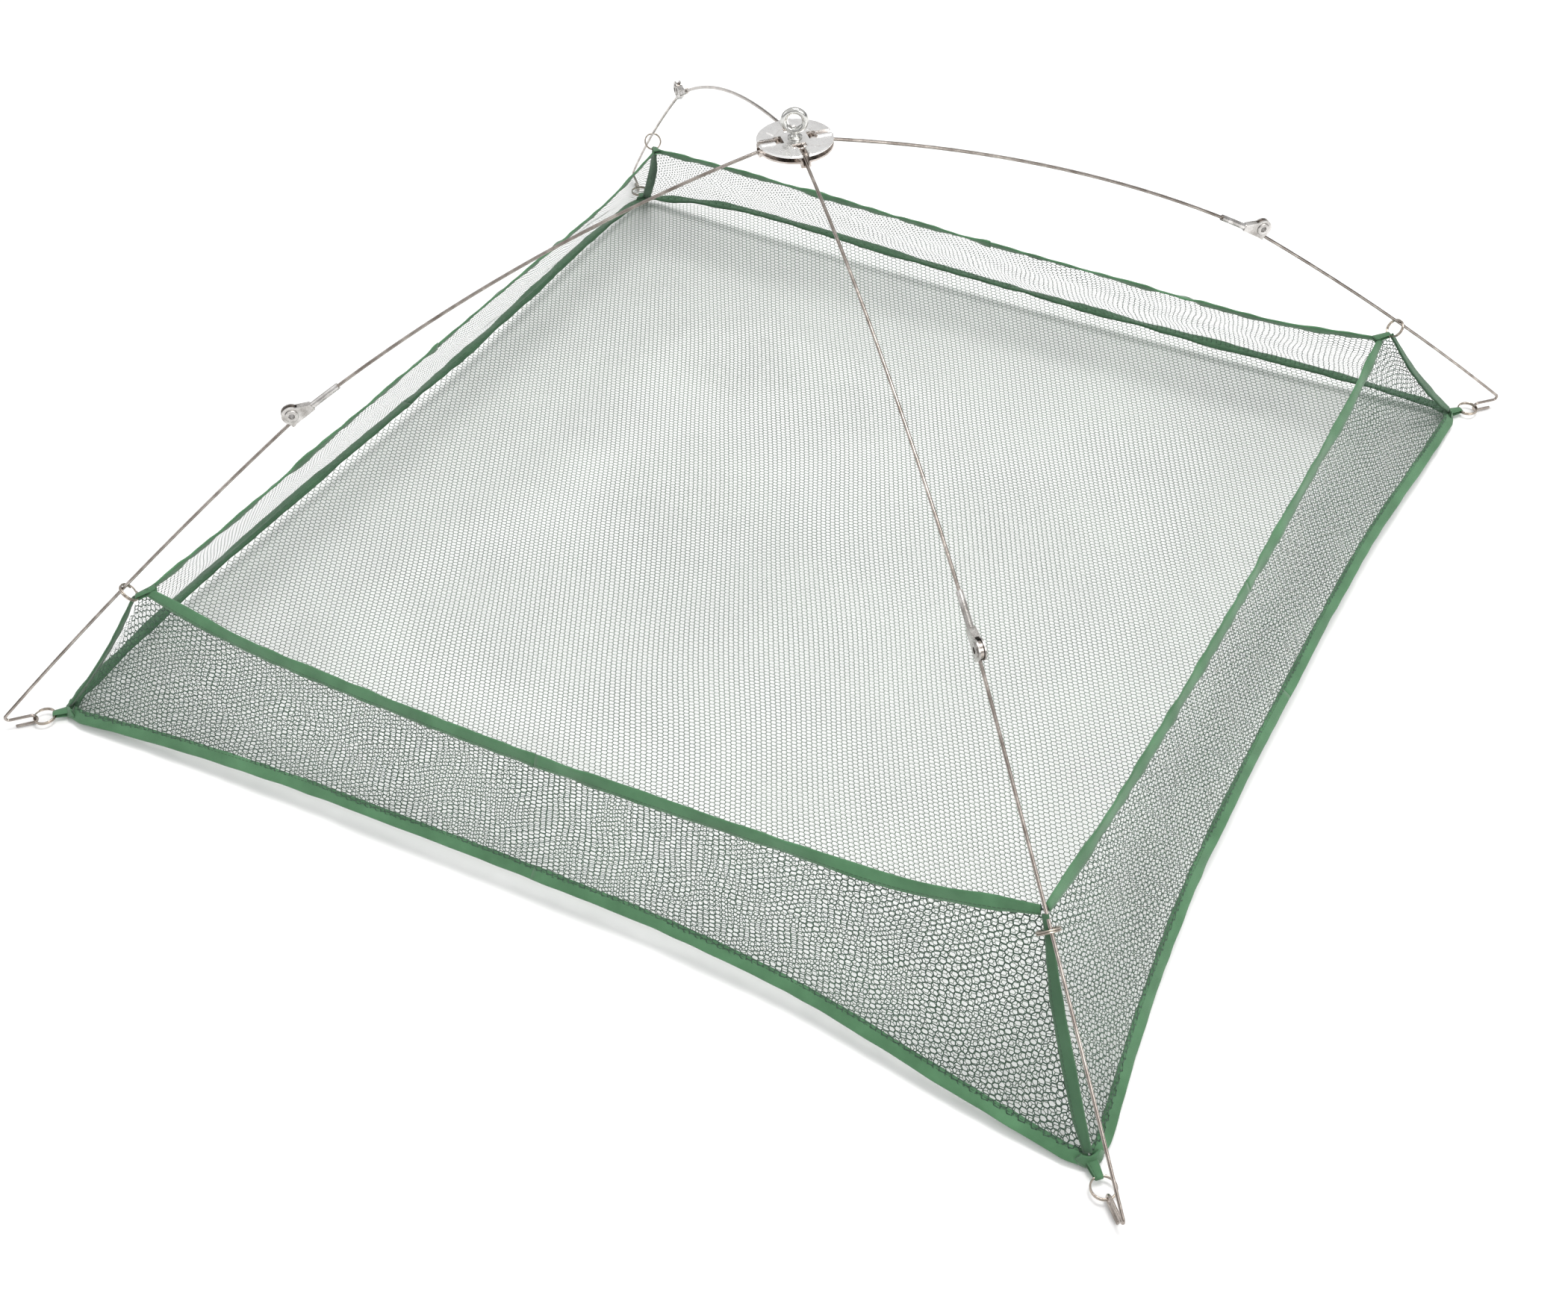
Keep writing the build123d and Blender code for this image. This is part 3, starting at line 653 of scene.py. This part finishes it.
def wall_layout(side):
    """Functions that place a wall's flat netting in space, and tell which of it is wall."""
    start, end = side.ends
    half_start, half_end = MOUTH_HALF[start], MOUTH_HALF[end]

    def share_along(x, v):
        return ((x + (1 - v) * HALF_BASE + v * half_start)
                / ((1 - v) * 2 * HALF_BASE + v * (half_start + half_end)))

    def place_on_wall(x, y, lift):
        held = bulge(y / WALL_H)
        x = x + 1.5 * waves(x, y, side.seed, size=46) * held
        v = (y + 1.2 * waves(x, y, side.seed + 10, size=40) * held) / WALL_H
        t = share_along(x, v)
        low, high = base_line(side, t), top_line(side, t)
        at = low * (1 - v)[:, None] + high * v[:, None]
        for corner, distance in ((start, t), (end, 1 - t)):
            sag = SEAM_SAG * np.sin(math.pi * np.clip(v, 0, 1)) * np.exp(-distance * 16)
            at = at - RADIAL[corner] * sag[:, None]
        normal = np.cross(unit(high - low), side.along)
        normal = unit(normal * np.sign((normal * side.out).sum(-1, keepdims=True)))
        belly = bulge(v) * np.clip(np.minimum(t, 1 - t) * 9, 0, 1)
        soft = (1.5 * waves(x, y, side.seed + 20, size=120)
                + 0.8 * waves(x + 2.2 * y, 0.25 * y, side.seed + 30, size=70))
        return at + normal * (belly * (soft - 1.5) + lift)[:, None]

    def in_wall(x, y):
        v = y / WALL_H
        t = share_along(x, v)
        return (v > -0.005) & (v < 1.005) & (t > 0.002) & (t < 0.998)

    return place_on_wall, in_wall


def fold_wall(obj):
    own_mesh(obj)


def build_wall_net(side, corner, half, place_on_wall, in_wall):
    def in_half(x, y):
        return (x >= 0) == (half == 1)

    points, faces = hex_net(half_span(1 if half else -1), (0, WALL_H), in_wall, in_half,
                            place_on_wall, width=0.56, jitter=0.30, seed=2 + len(side.name))
    # the walls take the darker copy of the netting, as painted shade
    obj = mesh_object(f"wall_net_{side.name}_{corner}", points, faces, WALL_NET_PAINTED_SHADE,
                      "outer_" + corner)
    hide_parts("net_wall_" + side.name)
    fold_wall(obj)


def build_hems(side, corner, half):
    """The top and base hems from a corner to the middle of a side."""
    t = np.linspace(HEM_START, 0.5, HEM_STATIONS)
    reach = STRAP[corner] or HEM_START
    t_top = reach + (0.5 - reach) * (t - t[0]) / (0.5 - t[0])
    if half == 1:
        t, t_top = 1 - t, 1 - t_top
    low, high = base_line(side, t), top_line(side, t_top)
    slope = unit(high - low)
    seed = 100 + 10 * len(side.name) + half

    # the top hem folds over the netting's upper edge, and narrows at the corner
    width = np.full(HEM_STATIONS, side.hem_width)
    width[:8] *= np.linspace(0.66, 1.0, 8)
    obj = tape(f"top_hem_{side.name}_{corner}", high - slope * 0.6, slope, width, HEM_THICK,
               HEM_TAPE, "outer_" + corner, seed, twist=13.0, ruffle=0.55)
    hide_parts("top_hem_" + side.name)
    fold_wall(obj)

    # the base hem stands up at the front and right, and lies nearly flat at the back and left, where it
    # takes the darker tape as painted shade
    if side.name in ("front", "right"):
        across, twist, mat = unit(side.out * 0.52 - slope * 0.85), 6.0, HEM_TAPE
    else:
        across, twist, mat = unit(side.out - slope * 0.10), 14.0, BINDING_AND_SHADED_HEM_TAPE
    obj = tape(f"base_hem_{side.name}_{corner}", low, across, 7.5, HEM_THICK, mat,
               "corner_" + corner, seed + 50, twist=twist, ruffle=0.3)
    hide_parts("base_hem_" + side.name)
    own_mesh(obj)


# ---------------------------------------------------------------- pieces at the corners
def build_binding(corner, side, end, foot):
    """The tape down a corner, narrow where the ring holds it and wide below."""
    radial = RADIAL[corner]
    top = GRIP[corner]
    from_corner = side.along * (1 if end == 0 else -1)
    edge = unit(foot - top)
    flat = unit(from_corner - (from_corner @ edge) * edge)
    face = np.cross(edge, flat)
    face *= np.sign(face @ (side.out + radial))
    f = np.linspace(0, 1, 44)
    width = 3.4 + 3.0 * np.clip((f - 0.08) / 0.30, 0, 1) - 2.0 * np.clip((f - 0.86) / 0.14, 0, 1)
    sag = SEAM_SAG * np.sin(f * math.pi)
    line = (top + (foot - top) * (0.01 + 0.95 * f)[:, None] + radial * (0.9 - sag)[:, None]
            + flat * (width / 2 - 1.4)[:, None] + face * 0.8)
    obj = tape(f"binding_{corner}", line, -flat, width, 1.4, BINDING_AND_SHADED_HEM_TAPE, None, 300 + end,
               twist=5.0, ruffle=0.2)
    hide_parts("corner_binding_" + corner)
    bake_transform(obj)


def doubled_path(start, grip, tangent, gap, slack, reach, start_width, turn_width, taper):
    """Path and widths of a tape that runs from start over grip and back underneath. Its plies
    lie gap from the middle at grip and slack more at start; it turns reach beyond grip."""
    out = unit(grip - start)
    lift = np.cross(out, tangent)
    lift *= np.sign(lift[2])
    line, widths = [], []
    stations = 30
    for i in range(stations):
        g = i / (stations - 1)
        if g < 0.40:
            w = g / 0.40
            line.append(start + (grip - start) * w + lift * (gap + slack * (1 - w)))
            widths.append(start_width - taper * w)
        elif g < 0.60:
            w = (g - 0.40) / 0.20 * math.pi
            line.append(grip + lift * math.cos(w) * gap + out * math.sin(w) * reach)
            widths.append(turn_width)
        else:
            w = (g - 0.60) / 0.40
            line.append(grip + (start - grip) * w - lift * (gap + slack * w))
            widths.append(turn_width + taper * w)
    return np.array(line), widths


def build_strap(corner, side, end):
    """A strap of doubled tape that ties the mouth's corner to its ring."""
    radial, tangent = RADIAL[corner], TANGENT[corner]
    knot = top_line(side, abs(end - STRAP[corner]))
    start = knot - radial * 4.5 + np.array([0, 0, 0.6])
    grip = GRIP[corner] + unit(GRIP[corner] - UPPER_RING[corner][0]) * 0.2
    line, widths = doubled_path(start, grip, tangent, gap=0.95, slack=0.2, reach=1.1,
                                start_width=5.0, turn_width=3.8, taper=1.2)
    obj = ribbon(f"upper_strap_{corner}", line, tangent, widths, 0.75, HEM_TAPE, "outer_" + corner)
    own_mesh(obj)


def build_lip(corner, end, foot):
    """The tape wrapped round the foot of the corner, where the two base hems meet."""
    radial, tangent = RADIAL[corner], TANGENT[corner]
    a = np.linspace(-1, 1, 26)
    angle = a * math.radians(66)
    out = foot @ radial + 0.8 - 5.4 * (1 - np.cos(angle))
    arc = radial * out[:, None] + tangent * (6.2 * np.sin(angle))[:, None]
    arc[:, 2] += 4.6 + 1.8 * a ** 2
    stand = np.array([0, 0, 1.0]) - radial * 0.45
    obj = tape(f"corner_lip_{corner}", arc, stand, 6.2 - 1.2 * a ** 4, HEM_THICK, HEM_TAPE,
               "corner_" + corner, 400 + end, twist=3.0, ruffle=0.2)
    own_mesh(obj)


def build_tab(corner, ring_centre, foot):
    """A tapering tab of tape doubled round the lower ring's wire."""
    radial, tangent = RADIAL[corner], TANGENT[corner]
    grip = ring_centre - radial * LOWER_RING_R
    start = radial * (foot @ radial - 2.0) + np.array([0, 0, 3.4])
    line, widths = doubled_path(start, grip, tangent, gap=1.05, slack=0.45, reach=1.35,
                                start_width=6.4, turn_width=4.3, taper=2.0)
    line[:, 2] = np.maximum(line[:, 2], 0.7)
    obj = ribbon(f"lower_tab_{corner}", line, tangent, widths, 0.8, HEM_TAPE, "corner_" + corner)
    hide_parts("lower_loop_" + corner)


def build_corner(corner):
    side = SIDES[BIND_SIDE[corner]]
    end = side.ends.index(corner)
    foot = base_line(side, float(end))
    build_binding(corner, side, end, foot)
    if STRAP[corner]:
        build_strap(corner, side, end)
    centre, axis = UPPER_RING[corner]
    obj = split_ring("upper_split_ring_" + corner, centre, axis, UPPER_RING_R,
                     "outer_" + corner, start=1.1)
    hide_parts("upper_ring_" + corner)
    centre, axis = ring_plane("lower_ring_" + corner)
    obj = split_ring("lower_split_ring_" + corner, centre, axis, LOWER_RING_R,
                     "corner_" + corner, start=2.3)
    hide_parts("lower_ring_" + corner)
    build_lip(corner, end, foot)
    build_tab(corner, centre, foot)


for corner in CORNERS:
    build_base_net(corner)
# each wall and its hems are cut at the side's middle, the halves going with their corners
for side in SIDES.values():
    layout = wall_layout(side)
    for half, corner in enumerate(side.ends):
        build_wall_net(side, corner, half, *layout)
        build_hems(side, corner, half)
for corner in CORNERS:
    build_corner(corner)


# ---------------------------------------------------------------- finishes on the CAD pieces
def finish_cad(node, mat):
    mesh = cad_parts[node].data
    mesh.materials.clear()
    mesh.materials.append(mat)
    mesh.polygons.foreach_set("material_index", [0] * len(mesh.polygons))


finish_cad("hub_upper_plate", HUB_METAL)
finish_cad("hub_lower_plate", HUB_LOW_METAL)
finish_cad("hub_spacer", HUB_LOW_METAL)
finish_cad("lifting_eye", EYE_METAL)
for corner in CORNERS:
    finish_cad("inner_arm_" + corner, WIRE_METAL)
    finish_cad("outer_arm_" + corner, WIRE_METAL)
    finish_cad("hinge_clevis_" + corner, HINGE_METAL)
    finish_cad("hinge_rivet_" + corner, HINGE_METAL)
for node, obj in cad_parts.items():
    if obj.hide_render:
        # stood for by a mesh piece, but dressed all the same
        hidden_mat = BASE_NET if node.startswith("net_") else RING_METAL if "ring" in node else HEM_TAPE
        finish_cad(node, hidden_mat)


# ---------------------------------------------------------------- floor, light, camera (metres)
def build_floor():
    half, z = 6, -0.0004
    mesh = bpy.data.meshes.new("floor")
    corners = [(-half, -half, z), (half, -half, z), (half, half, z), (-half, half, z)]
    mesh.from_pydata(corners, [], [(0, 1, 2, 3)])
    floor = bpy.data.objects.new("floor", mesh)
    bpy.context.scene.collection.objects.link(floor)
    mat, graph, shader = new_material("pale_floor")
    pale = [(0.3, (0.93, 0.93, 0.93)), (0.7, (0.95, 0.95, 0.95))]
    graph.feed(shader.inputs["Base Color"], graph.ramp(graph.noise(2.0, detail=2), pale))
    shader.inputs["Roughness"].default_value = 0.9
    shader.inputs["Specular IOR Level"].default_value = 0.1
    mesh.materials.append(mat)


def build_world():
    """A dim horizon under a bright ceiling for metal to mirror; the camera sees plain white."""
    world = bpy.data.worlds.new("studio")
    bpy.context.scene.world = world
    world.use_nodes = True
    graph = Graph(world.node_tree)
    coords = graph.nodes.new("ShaderNodeTexCoord")
    split = graph.nodes.new("ShaderNodeSeparateXYZ")
    graph.feed(split.inputs[0], coords.outputs["Generated"])
    sky = graph.ramp(split.outputs[2], [(0.0, (0.30, 0.30, 0.31)), (0.16, (0.34, 0.34, 0.35)),
                                        (0.42, (0.84, 0.84, 0.84)), (1.0, (0.96, 0.96, 0.96))])
    ray = graph.nodes.new("ShaderNodeLightPath")
    seen = graph.blend(ray.outputs["Is Camera Ray"], sky, (1.12, 1.12, 1.12))
    background = graph.nodes["Background"]
    graph.feed(background.inputs["Color"], seen)
    background.inputs["Strength"].default_value = 0.88


def panel(name, at, look, size, power, colour):
    """A square area light at one point, facing another."""
    data = bpy.data.lights.new(name, "AREA")
    data.shape = "RECTANGLE"
    data.size = data.size_y = size
    data.energy = power
    data.color = colour
    obj = bpy.data.objects.new(name, data)
    obj.location = at
    obj.rotation_mode = "QUATERNION"
    obj.rotation_quaternion = (Vector(look) - Vector(at)).to_track_quat("-Z", "Y")
    bpy.context.scene.collection.objects.link(obj)


def build_camera():
    data = bpy.data.cameras.new("camera")
    camera = bpy.data.objects.new("camera", data)
    bpy.context.scene.collection.objects.link(camera)
    right = Vector((0.8768623, 0.4797079, -0.0315098))
    up = Vector((-0.3146147, 0.6221754, 0.7168789))
    back = Vector((0.3634971, -0.6186906, 0.6964853))
    matrix = Matrix((right, up, back)).transposed().to_4x4()
    matrix.translation = Vector((0.426368, -0.760065, 0.758072))
    camera.matrix_world = matrix
    data.sensor_fit = "HORIZONTAL"
    data.sensor_width = 36.0
    data.lens = 42.55457142857
    data.clip_start, data.clip_end = 0.01, 50
    bpy.context.scene.camera = camera


build_floor()
bpy.context.scene.view_settings.view_transform = "Standard"
build_world()
WARM, COOL = (1.0, 0.99, 0.98), (0.97, 0.98, 1.0)
panel("key", at=(0.35, 0.25, 2.5), look=(0, 0, 0), size=0.9, power=34, colour=WARM)
panel("side", at=(2.0, -0.7, 1.3), look=(0, 0, 0.05), size=1.2, power=14, colour=WARM)
panel("fill", at=(-1.8, -1.4, 1.2), look=(0, 0, 0.1), size=1.4, power=5, colour=COOL)
build_camera()
